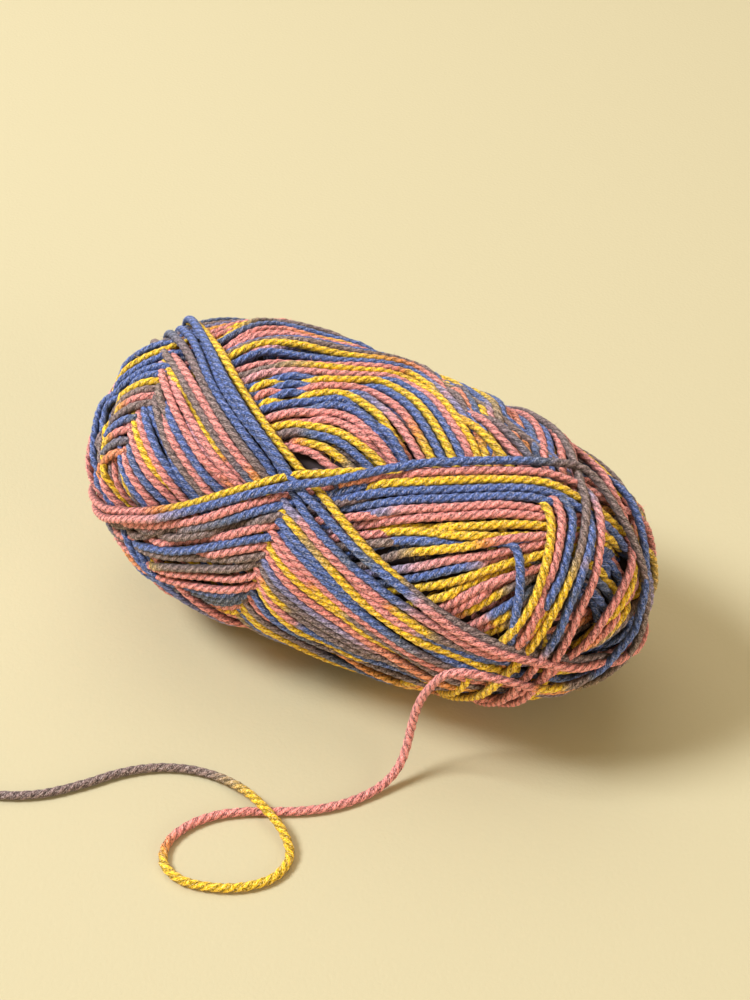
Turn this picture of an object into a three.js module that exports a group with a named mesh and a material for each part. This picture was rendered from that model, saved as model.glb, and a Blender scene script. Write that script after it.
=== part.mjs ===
import * as THREE from 'three';

// A wound skein of knitting yarn lying on its side, and the loose end that has come off it.
// Millimetres, Z up, the long side along X, the floor at z = 0.

// Driving dimensions of the skein, measured over its outer turns.
const HALF_LENGTH = 89;
const HALF_WIDTH = 45.8;
const HALF_HEIGHT = 41.8;
// The side profile is radius = (1 - |x|^LENGTH_POWER)^(1 / RADIUS_POWER), both as shares of a half size.
const LENGTH_POWER = 3.37;
const RADIUS_POWER = 2.26;
// The +X end is slimmer and the -X end fuller by this share.
const TAPER = 0.1;
// The axis falls towards +X by this much for each millimetre, so that the underside lies level.
const AXIS_DROP = 0.03;
// Each end dips in at the middle, where the winder's spindle was drawn out.
const DIMPLE_DEPTH = 3;
const DIMPLE_RADIUS = 15;

// The turns are laid in bundles of four yarns side by side.
const BUNDLE_HALF_WIDTH = 5.6;
const BUNDLE_RISE = 2.7;
// A bundle laid later lies this much higher, from the first to the last.
const LAYER_LIFT = 1.6;
const BUNDLES_PER_PASS = 14;
// Each bundle lies this many degrees further round the axis than the one before it.
const BUNDLE_STEP = 13;
// The first bundles lean this share of the last one's angle, so they pass nearer to the ends' middles.
const FIRST_LEAN = 0.4;
// The four passes of the winder, laid in turn. A turn is a flat loop round both ends. turn is where
// round the axis it rounds the +X end, from the -Y side upwards, lean is its angle to the axis, and
// shift is how far its flat lies from the middle, all for the newest bundle.
const PASSES = [
  { name: 'left end', turn: -122, lean: 26, shift: 2 },
  { name: 'shoulder', turn: 58, lean: 30, shift: 10 },
  { name: 'belt', turn: 150, lean: 27, shift: 8 },
  { name: 'diagonal', turn: -45, lean: 27, shift: -3 },
];

// Facets of the skein: round the axis, and from end to end.
const SIDES = 96;
const STATIONS = 57;
const PROFILE_SAMPLES = 600;
// The step, as a share and in radians, that the outward direction is worked out over.
const SMALL_STEP = 1e-3;
// A bundle is never widened by more than the reciprocal of this where the surface turns across it.
const LEAST_SLANT = 0.2;

// The weight of the skein presses its lowest turns flat to this depth.
const FLAT_DEPTH = 1.1;
// Below this height the hollows between the bundles are closed up.
const PRESS_HEIGHT = 3.5;

// The loose end: a round yarn, shown by its middle line.
const YARN_DIAMETER = 2.5;
const CORD_SIDES = 8;
const CORD_STEPS = 78;
// Height of the middle line where the yarn lies on the floor.
const FLOOR_GAP = 0.06;
const FLOOR = YARN_DIAMETER / 2 + FLOOR_GAP;
// Its route: off the skein's side, over a small arch, down to the floor, round one open loop that
// passes over its own start, and away to the -X side.
const LOOSE_END_ROUTE = [
  [58, -39.9, 37.4],
  [54.2, -42, 38.6],
  [50.6, -43.2, 38.4],
  [47, -43.6, 35.8],
  [44, -43.7, 31.2],
  [41.4, -43.9, 26],
  [39.8, -44.6, 20.8],
  [39, -46, 14.8],
  [39, -48.6, 9.6],
  [38.8, -52.4, 5.2],
  [37.2, -57.6, 2.4],
  [34.2, -63.4, FLOOR + 0.1],
  [29.5, -69.8, FLOOR],
  [23.5, -75.2, FLOOR],
  [16.5, -79.6, FLOOR],
  [9, -83.8, FLOOR],
  [2.6, -89, FLOOR],
  [-1.8, -95.8, FLOOR],
  [-3, -103, FLOOR],
  [-0.2, -108.8, FLOOR],
  [6.4, -111.2, FLOOR],
  [14.4, -109.6, FLOOR],
  [22, -105.4, FLOOR],
  [27.4, -98.6, FLOOR],
  [27.4, -91.2, FLOOR + 0.3],
  [21.8, -85.6, FLOOR + 1.7],
  [14, -82, FLOOR + 2.75],
  [5.6, -78.6, FLOOR + 1.7],
  [-3.6, -77, FLOOR + 0.3],
  [-12.4, -78.4, FLOOR],
  [-20.8, -82.4, FLOOR],
  [-28, -88.6, FLOOR],
  [-34.6, -97, FLOOR],
  [-42.4, -105.2, FLOOR],
  [-52.4, -111.2, FLOOR],
  [-65, -115, FLOOR],
  [-79, -116, FLOOR],
];

function smoothStep(from, to, value) {
  const share = THREE.MathUtils.clamp((value - from) / (to - from), 0, 1);
  return share * share * (3 - 2 * share);
}

// The core that the bundles lie on is the outer size less their height.
const WINDING_HEIGHT = BUNDLE_RISE + LAYER_LIFT / 2;
const CORE = new THREE.Vector3(HALF_LENGTH, HALF_WIDTH, HALF_HEIGHT).subScalar(WINDING_HEIGHT);

// Radius of the profile as a share of the half width, at a share of the half length.
function profileRadius(share) {
  const round = Math.pow(Math.max(1 - Math.pow(Math.abs(share), LENGTH_POWER), 0), 1 / RADIUS_POWER);
  return round * (1 - TAPER * share);
}

// Shares of the half length that divide the profile into equal lengths, from the -X end to the +X end.
function evenStations(count) {
  const shares = [];
  const lengths = [0];
  for (let i = 0; i <= PROFILE_SAMPLES; i += 1) {
    const angle = Math.PI * (i / PROFILE_SAMPLES);
    shares.push(-Math.sign(Math.cos(angle)) * Math.pow(Math.abs(Math.cos(angle)), 2 / LENGTH_POWER));
  }
  for (let i = 1; i <= PROFILE_SAMPLES; i += 1) {
    const run = (shares[i] - shares[i - 1]) * CORE.x;
    const rise = (profileRadius(shares[i]) - profileRadius(shares[i - 1])) * CORE.y;
    lengths.push(lengths[i - 1] + Math.hypot(run, rise));
  }
  const total = lengths[PROFILE_SAMPLES];
  const stations = [];
  let j = 0;
  for (let i = 0; i <= count; i += 1) {
    const target = (total * i) / count;
    while (j < PROFILE_SAMPLES - 1 && lengths[j + 1] < target) j += 1;
    const part = (target - lengths[j]) / (lengths[j + 1] - lengths[j]);
    stations.push(shares[j] + (shares[j + 1] - shares[j]) * THREE.MathUtils.clamp(part, 0, 1));
  }
  return stations;
}

// A point of the core, before the axis drops, measured from the skein's middle.
function corePoint(share, angle) {
  const radius = profileRadius(share);
  return new THREE.Vector3(
    CORE.x * share,
    -CORE.y * radius * Math.cos(angle),
    CORE.z * radius * Math.sin(angle),
  );
}

// The outward direction, from two small steps over the core.
function coreNormal(share, angle) {
  const limit = 1 - 3 * SMALL_STEP;
  const inner = THREE.MathUtils.clamp(share, -limit, limit);
  const alongLength = corePoint(inner + SMALL_STEP, angle).sub(corePoint(inner - SMALL_STEP, angle));
  const alongRound = corePoint(inner, angle + SMALL_STEP).sub(corePoint(inner, angle - SMALL_STEP));
  return alongLength.cross(alongRound).normalize();
}

// Every bundle in the order in which it was laid, as the flat that its loop lies in and its level.
function layBundles() {
  const bundles = [];
  for (let i = 0; i < BUNDLES_PER_PASS; i += 1) {
    const newness = i / (BUNDLES_PER_PASS - 1);
    for (const pass of PASSES) {
      const age = (BUNDLES_PER_PASS - 1 - i) * BUNDLE_STEP;
      const turn = THREE.MathUtils.degToRad(pass.turn - age);
      const lean = THREE.MathUtils.degToRad(pass.lean * (FIRST_LEAN + (1 - FIRST_LEAN) * newness));
      const normal = new THREE.Vector3(
        Math.sin(lean),
        Math.cos(lean) * Math.cos(turn),
        -Math.cos(lean) * Math.sin(turn),
      );
      bundles.push({ normal, shift: pass.shift * newness, level: LAYER_LIFT * newness });
    }
  }
  return bundles;
}

// Height of the winding over the core at a point: the last bundle that was laid over it.
function windingHeight(point, outward, bundles) {
  let height = 0;
  for (const { normal, shift, level } of bundles) {
    const slant = Math.max(Math.sqrt(1 - Math.pow(normal.dot(outward), 2)), LEAST_SLANT);
    const aside = Math.abs(normal.dot(point) - shift) / slant / BUNDLE_HALF_WIDTH;
    if (aside < 1) {
      height = level + BUNDLE_RISE * (1 - aside * aside);
    }
  }
  return height;
}

// The skein as one closed surface: a grid of stations and sides with a single point at each end.
function skeinGeometry() {
  const bundles = layBundles();
  const stations = evenStations(STATIONS);
  const points = [];
  const heights = [];
  for (let i = 0; i <= STATIONS; i += 1) {
    const sides = i === 0 || i === STATIONS ? 1 : SIDES;
    for (let j = 0; j < sides; j += 1) {
      const angle = (2 * Math.PI * j) / SIDES;
      const core = corePoint(stations[i], angle);
      const outward = coreNormal(stations[i], angle);
      const fromAxis = Math.hypot(core.y, core.z);
      const dimple = DIMPLE_DEPTH * (1 - smoothStep(0, DIMPLE_RADIUS, fromAxis));
      const fromFloor = core.z + CORE.z - AXIS_DROP * core.x;
      const pressed = 1 - smoothStep(0, PRESS_HEIGHT, fromFloor);
      const wound = windingHeight(core, outward, bundles);
      const height = THREE.MathUtils.lerp(wound, WINDING_HEIGHT, pressed) - dimple;
      core.addScaledVector(outward, height);
      core.z -= AXIS_DROP * core.x;
      points.push(core);
      heights.push(height);
    }
  }
  return settle(closedGrid(points, heights));
}

// Joins the points into rings of triangles that face outwards. Each square is cut along the diagonal
// whose ends lie at the more even height, so the cut follows the ridges.
function closedGrid(points, heights) {
  const geometry = new THREE.BufferGeometry().setFromPoints(points);
  const index = [];
  const last = points.length - 1;
  const ring = (i) => 1 + (i - 1) * SIDES;
  for (let j = 0; j < SIDES; j += 1) {
    const next = (j + 1) % SIDES;
    index.push(0, ring(1) + j, ring(1) + next);
    index.push(last, ring(STATIONS - 1) + next, ring(STATIONS - 1) + j);
    for (let i = 1; i < STATIONS - 1; i += 1) {
      const [a, b] = [ring(i) + j, ring(i + 1) + j];
      const [c, d] = [ring(i + 1) + next, ring(i) + next];
      if (Math.abs(heights[a] - heights[c]) < Math.abs(heights[b] - heights[d])) {
        index.push(a, b, c, a, c, d);
      } else {
        index.push(a, b, d, b, c, d);
      }
    }
  }
  geometry.setIndex(index);
  return geometry;
}

// Centres the skein over the origin and lets its lowest turns settle into one flat spot on the floor.
function settle(geometry) {
  geometry.computeBoundingBox();
  const { min, max } = geometry.boundingBox;
  const middleX = (min.x + max.x) / 2;
  const middleY = (min.y + max.y) / 2;
  const place = geometry.attributes.position;
  for (let i = 0; i < place.count; i += 1) {
    const height = place.getZ(i) - min.z - FLAT_DEPTH;
    place.setXYZ(i, place.getX(i) - middleX, place.getY(i) - middleY, Math.max(height, 0));
  }
  return geometry;
}

// The loose end: a round section carried along its route.
function looseEndGeometry() {
  const route = LOOSE_END_ROUTE.map(([x, y, z]) => new THREE.Vector3(x, y, z));
  const path = new THREE.CatmullRomCurve3(route, false, 'centripetal');
  const section = new THREE.Shape();
  section.absarc(0, 0, YARN_DIAMETER / 2, 0, 2 * Math.PI, false);
  return new THREE.ExtrudeGeometry(section, {
    steps: CORD_STEPS,
    curveSegments: CORD_SIDES / 2,
    extrudePath: path,
  });
}

function addMesh(parent, name, geometry, color, roughness) {
  const material = new THREE.MeshStandardMaterial({ color, roughness, metalness: 0 });
  const mesh = new THREE.Mesh(geometry, material);
  mesh.name = name;
  parent.add(mesh);
}

const group = new THREE.Group();
addMesh(group, 'skein', skeinGeometry(), '#8d7b94', 0.9);
addMesh(group, 'loose_end', looseEndGeometry(), '#d9877c', 0.9);

export default group;
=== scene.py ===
"""A wound skein of long-striped acrylic yarn and its loose end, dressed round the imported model.

Lengths are in millimetres until a mesh is made, and every mesh is in metres. The skein lies along X.
A place on it is given by how far it lies along the side profile from the -X end, and by its turn:
degrees round the axis from the front (-Y), upwards.
"""

import bpy
import numpy as np
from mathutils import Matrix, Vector


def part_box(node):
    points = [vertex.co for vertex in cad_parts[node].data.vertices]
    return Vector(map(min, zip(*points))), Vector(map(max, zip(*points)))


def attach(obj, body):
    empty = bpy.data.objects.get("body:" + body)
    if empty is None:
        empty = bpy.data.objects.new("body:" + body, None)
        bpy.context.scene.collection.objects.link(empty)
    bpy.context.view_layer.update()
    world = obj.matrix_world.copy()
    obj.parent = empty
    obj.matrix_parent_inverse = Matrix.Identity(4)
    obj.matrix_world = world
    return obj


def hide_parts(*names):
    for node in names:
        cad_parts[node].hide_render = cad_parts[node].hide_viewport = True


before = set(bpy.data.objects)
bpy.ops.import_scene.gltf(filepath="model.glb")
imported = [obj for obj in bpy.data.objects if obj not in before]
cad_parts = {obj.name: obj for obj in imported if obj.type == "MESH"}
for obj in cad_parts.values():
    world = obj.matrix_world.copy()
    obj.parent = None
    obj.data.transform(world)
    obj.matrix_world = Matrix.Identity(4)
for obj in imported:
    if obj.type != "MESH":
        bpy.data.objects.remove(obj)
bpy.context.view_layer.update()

MM = 0.001
SEED = 41

# The yarn: three plies twisted together, 2.5 mm thick.
YARN = 2.5
RADIUS = YARN / 2
PLIES = 3
TWIST = 8.6  # one turn of a ply, along the yarn
PLY_RELIEF = 0.17  # depth of the groove between plies, as a share of the radius
RING = 12  # corners of the yarn's section, four to a ply
STEP = 1.1  # length of one facet along the yarn
AROUND = RADIUS * 2 * np.pi / 10  # centimetres round the yarn
HAIRS_PER_RING = 0.45  # stray fibres for each ring of corners, on the average
HAIR = 0.05  # half the thickness of a stray fibre at its root
HAIR_LENGTHS = 0.7, 2.1
PIECE_TRIANGLES = 185000  # where the yarns are parted into a further piece

# The side profile, as in the solid: radius = (1 - |x|^LENGTH_POWER)^(1 / RADIUS_POWER).
LENGTH_POWER = 3.37
RADIUS_POWER = 2.26
TAPER = 0.1
AXIS_DROP = 0.03

# How deep the wound turns lie on the core, and how far the lowest ones are pressed flat.
WOUND_DEPTH = 7.4
PRESS = 1.0
SKIN = 1.3  # from the middle of the top turns out to the skein's form
INNER_DEPTH = 6.2  # how far the dark body, painted shade for the deeper turns seen through the gaps, lies below the top turns


def smooth(low, high, value):
    """A soft step from 0 at low to 1 at high."""
    share = np.clip((value - low) / (high - low), 0, 1)
    return share * share * (3 - 2 * share)


def run_along(points):
    """Distance along a line at each of its points."""
    return np.concatenate([[0], np.cumsum(np.linalg.norm(np.diff(points, axis=0), axis=1))])


# The camera, at the photograph's viewing angle.
AZIMUTH = np.radians(29.1)
ELEVATION = np.radians(40)
DISTANCE = 554.0
TARGET = np.array([0.1, 3.6, 42.1])
LENS = 70.0
SENSOR = 36.0
PHOTO_WIDE, PHOTO_HIGH = 750, 1000

BACK = np.array(
    [
        np.sin(AZIMUTH) * np.cos(ELEVATION),
        -np.cos(AZIMUTH) * np.cos(ELEVATION),
        np.sin(ELEVATION),
    ]
)
RIGHT = np.array([np.cos(AZIMUTH), np.sin(AZIMUTH), 0])
UP = np.cross(BACK, RIGHT)
EYE = TARGET + BACK * DISTANCE


def make_camera():
    """The scene's camera, looking from EYE at TARGET, held upright."""
    data = bpy.data.cameras.new("camera")
    data.lens = LENS
    data.sensor_width = SENSOR
    data.clip_start, data.clip_end = 0.01, 20
    camera = bpy.data.objects.new("camera", data)
    bpy.context.collection.objects.link(camera)
    camera.location = Vector(EYE * MM)
    camera.rotation_mode = "QUATERNION"
    camera.rotation_quaternion = Vector(-BACK).to_track_quat("-Z", "Y")
    bpy.context.scene.camera = camera


# The skein's form.
LOW, HIGH = (np.array(corner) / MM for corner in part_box("skein"))
HALF = (HIGH - LOW) / 2 + [0, 0, PRESS / 2]
ALPHA = np.linspace(0, np.pi, 1601)
SHARE = -np.sign(np.cos(ALPHA)) * np.abs(np.cos(ALPHA)) ** (2 / LENGTH_POWER)


def profile_radius(share):
    """Radius of the side profile, as a share of the half width, at a share of the half length."""
    round_part = np.clip(1 - np.abs(share) ** LENGTH_POWER, 0, 1) ** (1 / RADIUS_POWER)
    return round_part * (1 - TAPER * share)


WIDENESS = profile_radius(SHARE)
OUTER = HALF / np.array([1, WIDENESS.max(), WIDENESS.max()])
MIDDLE = HIGH[2] - (OUTER[2] * WIDENESS - AXIS_DROP * OUTER[0] * SHARE).max()
CORE = OUTER - WOUND_DEPTH - SKIN
GIRTH = (CORE[1] + CORE[2]) / 2
STRETCH = np.hypot(np.diff(SHARE) * CORE[0], np.diff(WIDENESS) * GIRTH)
ALONG = np.concatenate([[0], np.cumsum(STRETCH)])
BEND = np.arctan2(WIDENESS, -SHARE)


def place(normed):
    """Place on the skein of points given as shares of its half sizes: (along, turn in radians)."""
    x, y, z = np.moveaxis(np.asarray(normed, float), -1, 0)
    along = np.interp(np.arctan2(np.hypot(y, z), -x), BEND, ALONG)
    return np.stack([along, np.arctan2(z, -y)], -1)


def on_core(along, turn):
    """Points of the core and the outward directions there.

    The direction is the cross product of the slope along the profile and the slope round it.
    """
    share = np.interp(along, ALONG, SHARE)
    wide = np.interp(along, ALONG, WIDENESS)
    share_slope = np.interp(along, ALONG, np.gradient(SHARE, ALONG))
    wide_slope = np.interp(along, ALONG, np.gradient(WIDENESS, ALONG))
    cos, sin = np.cos(turn), np.sin(turn)
    points = np.stack(
        [CORE[0] * share, -CORE[1] * wide * cos, CORE[2] * wide * sin], -1
    )
    normals = np.stack(
        [
            -CORE[1] * CORE[2] * wide_slope,
            -CORE[0] * CORE[2] * share_slope * cos,
            CORE[0] * CORE[1] * share_slope * sin,
        ],
        -1,
    )
    return points, normals / np.linalg.norm(normals, axis=-1, keepdims=True)


def settle(points):
    """Moves points from the skein's own middle to the floor's frame, with the lowest pressed flat."""
    settled = np.array(points, float)
    settled[..., 2] += MIDDLE - AXIS_DROP * settled[..., 0]
    settled[..., 2] = np.maximum(settled[..., 2], 0)
    return settled


def seen(*pixels, lift=0.0):
    """Places on the skein under pixels of the 750 by 1000 photograph.

    The sight line through each pixel is followed until it enters the skein's outer form, lifted for a
    yarn that stands proud. A pixel just beside the skein takes the nearest point of its line.
    """
    focal = LENS / SENSOR * PHOTO_HIGH
    pixels = np.array(pixels, float)
    across = (pixels[:, :1] - PHOTO_WIDE / 2) / focal
    down = (pixels[:, 1:] - PHOTO_HIGH / 2) / focal
    lines = across * RIGHT - down * UP - BACK
    depth = np.linspace(DISTANCE - 120, DISTANCE + 120, 1500)
    points = EYE + depth[:, None, None] * lines
    points[..., 2] += AXIS_DROP * points[..., 0] - MIDDLE
    normed = points / (OUTER + lift)
    inside = np.hypot(normed[..., 1], normed[..., 2]) - profile_radius(
        np.clip(normed[..., 0], -1, 1)
    )
    inside += np.clip(np.abs(normed[..., 0]) - 1, 0, None)
    first = np.where((inside < 0).any(0), (inside < 0).argmax(0), inside.argmin(0))
    return place(normed[first, np.arange(len(pixels))])


def at(*places):
    """Places on the skein from rows of (x in millimetres, turn in degrees)."""
    x, turn = np.array(places, float).T
    share = np.clip(x / OUTER[0], -0.999, 0.999)
    along = np.interp(share, SHARE, ALONG)
    return np.stack([along, np.radians(turn)], -1)


# Laying the yarn. A grid over the core holds the height of what has been laid so far, and level a
# smooth surface under it, from which heights are measured. Level rises as turns pile up, so that the
# wound form stays the solid's.
CELL = 0.6
ROUND_CELLS = 448
ROWS = int(ALONG[-1] / CELL) + 2
ROUND_STEP = 2 * np.pi / ROUND_CELLS
LAY_STEP = 0.9
SQUEEZE = 0.8  # the share of its radius to which yarn is pressed where it lies on yarn
SAG_BEND = 1 / 55  # how sharply taut yarn sinks between the turns that hold it up
PROUD, PRESSED = 1.3, 0.8  # how far a new yarn may stand over the others, and how softly that ends
FULLER = 1.6  # how much fuller the -X end is wound
UNDER = 2.6  # how deep a yarn goes where the others of its band leave no room for it
TUCK, TUCK_LENGTH = 4.0, 16.0  # how deep a yarn's ends go down, and over what length
SPACING = 2.35  # from one yarn of a band to the next
SLIDE = 0.9  # how far a yarn slips sideways into a dip, at each of two goes
REACH_ALONG, REACH_ROUND = 2, 7
FOOT = 1.3  # how far to each side a yarn's print reaches on the grid
SHOULDER = 0.75  # the share of a yarn's half width that is looked at for whether it shows
BURIED = 0.12  # how far below the surface a yarn still counts as showing
height_map = np.zeros((ROWS, ROUND_CELLS))
level = np.zeros((ROWS, ROUND_CELLS))
RING_STEP = np.interp(np.arange(ROWS) * CELL, ALONG, WIDENESS) * GIRTH * ROUND_STEP


def evenly(path, step, closed):
    """The path resampled at even steps of its real length over the core."""
    if closed:
        end = path[:1] + [0, 2 * np.pi * np.round((path[-1, 1] - path[0, 1]) / (2 * np.pi))]
        path = np.concatenate([path, end])
    points, _ = on_core(path[:, 0], path[:, 1])
    run = run_along(points)
    count = max(int(run[-1] / step), 4)
    marks = np.linspace(0, run[-1], count + 1)
    if closed:
        marks = marks[:-1]
    return np.stack([np.interp(marks, run, path[:, i]) for i in (0, 1)], -1), run[-1] / count


def taut(need, step, closed):
    """Height of a taut yarn over what it must clear.

    Between two held points the yarn runs straight, so over the curved skein it sinks by half the bend
    times the square of the half span. Each round lifts every point to the mean of the points 1, 2, 4
    and more steps away on either side, less that sinking.
    """
    height = need.copy()
    for _ in range(5):
        for reach in (1, 2, 4, 8, 16):
            if closed:
                ahead, behind = np.roll(height, -reach), np.roll(height, reach)
            else:
                padded = np.pad(height, reach, mode="edge")
                ahead, behind = padded[2 * reach :], padded[: -2 * reach]
            sunk = 0.5 * SAG_BEND * (reach * step) ** 2
            height = np.maximum(height, (ahead + behind) / 2 - sunk)
    return height


def footprint(path):
    """Grid cells near each point of a path, their distances over the surface, and the column stride.

    Near the ends of the skein the columns crowd together, so there only every second, third or
    further column is taken.
    """
    row = np.rint(path[:, 0] / CELL).astype(int)
    column = np.rint(path[:, 1] / ROUND_STEP).astype(int)
    down, over = np.meshgrid(
        np.arange(-REACH_ALONG, REACH_ALONG + 1),
        np.arange(-REACH_ROUND, REACH_ROUND + 1),
        indexing="ij",
    )
    width = RING_STEP[np.clip(row, 0, ROWS - 1)]
    stride = np.clip(np.ceil(FOOT / (REACH_ROUND * np.maximum(width, 0.01))), 1, 9).astype(int)
    rows = np.clip(row[:, None] + down.ravel(), 0, ROWS - 1)
    columns = column[:, None] + over.ravel() * stride[:, None]
    aside = (columns * ROUND_STEP - path[:, 1:]) * (width / ROUND_STEP)[:, None]
    distance = np.hypot(rows * CELL - path[:, :1], aside)
    return rows, columns % ROUND_CELLS, distance, stride


def clearance(path):
    """Lowest height at which a yarn's middle can follow a path, before it is pulled taut."""
    rows, columns, distance, _ = footprint(path)
    soft = RADIUS * SQUEEZE
    lift = np.sqrt(np.clip(soft**2 - distance**2, 0, None))
    return np.where(distance < soft, height_map[rows, columns] + lift, 0).max(1)


def level_at(path):
    """Height of the level under each point of a path."""
    row = np.clip(path[:, 0] / CELL, 0, ROWS - 1.001)
    column = path[:, 1] / ROUND_STEP
    r, c = row.astype(int), np.floor(column).astype(int)
    fr, fc = row - r, column - c
    c, d = c % ROUND_CELLS, (c + 1) % ROUND_CELLS
    near = level[r, c] * (1 - fc) + level[r, d] * fc
    far = level[r + 1, c] * (1 - fc) + level[r + 1, d] * fc
    return near * (1 - fr) + far * fr


def running_mean(values, reach, closed):
    """Mean of each value, or row of values, and its neighbours up to reach away."""
    if closed:
        before, after = values[-reach:], values[:reach]
    else:
        before, after = (np.repeat(end, reach, axis=0) for end in (values[:1], values[-1:]))
    padded = np.concatenate([before, values, after])
    total = np.cumsum(np.concatenate([np.zeros_like(padded[:1]), padded]), axis=0)
    return (total[2 * reach + 1 :] - total[: -2 * reach - 1]) / (2 * reach + 1)


def slip(path, closed):
    """Slides a path sideways into the dips between the yarns below it."""
    if closed:
        slope = np.roll(path, -1, 0) - np.roll(path, 1, 0)
        slope[:, 1] = (slope[:, 1] + np.pi) % (2 * np.pi) - np.pi
    else:
        slope = np.gradient(path, axis=0)
    ring = np.maximum(np.interp(path[:, 0], ALONG, WIDENESS) * GIRTH, 2.0)
    slope[:, 1] *= ring
    slope /= np.linalg.norm(slope, axis=1, keepdims=True) + 1e-9
    aside = np.stack([-slope[:, 1], slope[:, 0] / ring], -1)
    offsets = np.linspace(-SLIDE, SLIDE, 9)
    needs = [
        running_mean(clearance(path + aside * offset), 5, closed) + 0.12 * offset**2
        for offset in offsets
    ]
    move = offsets[np.argmin(needs, axis=0)]
    move = running_mean(running_mean(move, 6, closed), 6, closed)
    return path + aside * move[:, None]


def raise_level(depth):
    """Sets the level so that what has been laid lies depth above it, on the average nearby."""
    wide = height_map.copy()
    for axis, reach in ((0, 11), (1, 11), (0, 8), (1, 8)):
        wide = running_mean(np.moveaxis(wide, axis, 0), reach, axis == 1)
        wide = np.moveaxis(wide, 0, axis)
    # Near the tips the columns are short, so there whole rings are levelled together.
    tip = smooth(14, 4, RING_STEP / ROUND_STEP)[:, None]
    wide = wide * (1 - tip) + wide.mean(1, keepdims=True) * tip
    level[:] = wide - depth - FULLER * smooth(34, 14, np.arange(ROWS) * CELL)[:, None]


def lay(path, closed, depth, proud, under, loose):
    """Lays one yarn along a path, on whatever is there, and returns its even path and height.

    Where the turns below are crowded it presses into them, so that it never stands far above depth.
    under holds how far it goes below its neighbours, at even shares of its length. Its ends are tucked
    in, but for the start of the loose one.
    """
    path, step = evenly(path, LAY_STEP, closed)
    if closed:
        path = slip(slip(path, closed), closed)
        path, step = evenly(path, LAY_STEP, closed)
    base = level_at(path)
    height = taut(clearance(path) - base, step, closed)
    spare = height - depth - proud
    pressed = depth + proud + PRESSED * (1 - np.exp(-np.clip(spare, 0, None) / PRESSED))
    height = np.where(spare > 0, pressed, height)
    shares = np.linspace(0, 1, len(height))
    height -= UNDER * np.interp(shares, np.linspace(0, 1, len(under)), under)
    if not closed:
        steps = np.arange(len(height)) * step
        from_end = steps[::-1] if loose else np.minimum(steps, steps[::-1])
        height -= TUCK * (1 - smooth(0, TUCK_LENGTH, from_end))
    height = height + base
    rows, columns, distance, stride = footprint(path)
    top = height[:, None] + np.sqrt(np.clip(RADIUS**2 - distance**2, 0, None))
    near = distance < RADIUS
    for extra in range(stride.max()):
        some = near & (stride > extra)[:, None]
        cells = (rows[some], (columns[some] + extra) % ROUND_CELLS)
        np.maximum.at(height_map, cells, top[some])
    return path, height


def cut(normal, shift):
    """The closed line where a flat cuts the core, as points and their places.

    Each point is found by halving along a line out from the flat's own middle.
    """
    lengthwise = np.array([1, 0, 0]) - normal * normal[0]
    lengthwise /= np.linalg.norm(lengthwise)
    sideways = np.cross(normal, lengthwise)
    angle = np.linspace(0, 2 * np.pi, 480, endpoint=False)[:, None]
    outward = np.cos(angle) * lengthwise + np.sin(angle) * sideways
    middle = normal * shift
    near, far = np.zeros(len(angle)), np.full(len(angle), 140.0)
    for _ in range(18):
        half = (near + far) / 2
        x, y, z = ((middle + outward * half[:, None]) / CORE).T
        inside = (np.abs(x) < 1) & (np.hypot(y, z) < profile_radius(np.clip(x, -1, 1)))
        near, far = np.where(inside, half, near), np.where(inside, far, half)
    points = middle + outward * near[:, None]
    path = place(points / CORE)
    path[:, 1] = np.unwrap(path[:, 1])
    return points, path


def flat_loop(turn, lean, shift):
    """One turn of yarn round both ends, in a flat.

    turn is where it rounds the +X end, lean its angle to the axis, and shift how far the flat lies from
    the middle.
    """
    turn, lean = np.radians(turn), np.radians(lean)
    normal = [np.sin(lean), np.cos(lean) * np.cos(turn), -np.cos(lean) * np.sin(turn)]
    return cut(np.array(normal), shift)[1]


def run_on(path, length):
    """The path with a further stretch at its end, in the flat that stands upright on the core."""
    points, normals = on_core(path[-5:, 0], path[-5:, 1])
    heading = points[-1] - points[0]
    normal = np.cross(heading, normals[-1])
    normal /= np.linalg.norm(normal)
    ring, places = cut(normal, normal @ points[-1])
    start = int(np.argmin(np.linalg.norm(ring - points[-1], axis=1)))
    ring, places = np.roll(ring, -start, 0), np.roll(places, -start, 0)
    if (ring[4] - ring[0]) @ heading < 0:
        ring, places = np.roll(ring[::-1], 1, 0), np.roll(places[::-1], 1, 0)
    run = run_along(ring)[1:]
    marks = np.arange(2.0, length, 2.0)
    places = np.stack([np.interp(marks, run, np.unwrap(places[1:, i])) for i in (0, 1)], -1)
    places[:, 1] += 2 * np.pi * np.round((path[-1, 1] - places[0, 1]) / (2 * np.pi))
    return np.concatenate([path, places])


def curve_through(points, count=48):
    """A smooth line through a few points, at even shares of its length (a Catmull-Rom curve)."""
    points = np.array(points, float)
    points[:, 1] = np.unwrap(points[:, 1])
    ends = 2 * points[[0, -1]] - points[[1, -2]]
    held = np.concatenate([ends[:1], points, ends[1:]])
    t = np.linspace(0, 1, 24, endpoint=False)[:, None]
    spans = []
    for a, b, c, d in zip(held[:-3], held[1:-2], held[2:-1], held[3:], strict=True):
        spans.append(
            b
            + 0.5
            * (
                t * (c - a)
                + t**2 * (2 * a - 5 * b + 4 * c - d)
                + t**3 * (3 * b - a - 3 * c + d)
            )
        )
    line = np.concatenate([*spans, points[-1:]])
    scaled = line * [1, GIRTH * 0.9]
    run = run_along(scaled)
    marks = np.linspace(0, run[-1], count)
    return np.stack([np.interp(marks, run, line[:, i]) for i in (0, 1)], -1)


# Where each colour lies in the dye's repeat, from 0 to 1, and the repeat's length.
DYES = {
    "pink": 0.1,
    "orange": 0.235,
    "yellow": 0.37,
    "tan": 0.49,
    "taupe": 0.6,
    "slate": 0.725,
    "blue": 0.86,
    "lavender": 0.985,
}
DYE_REPEAT = 490.0

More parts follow.
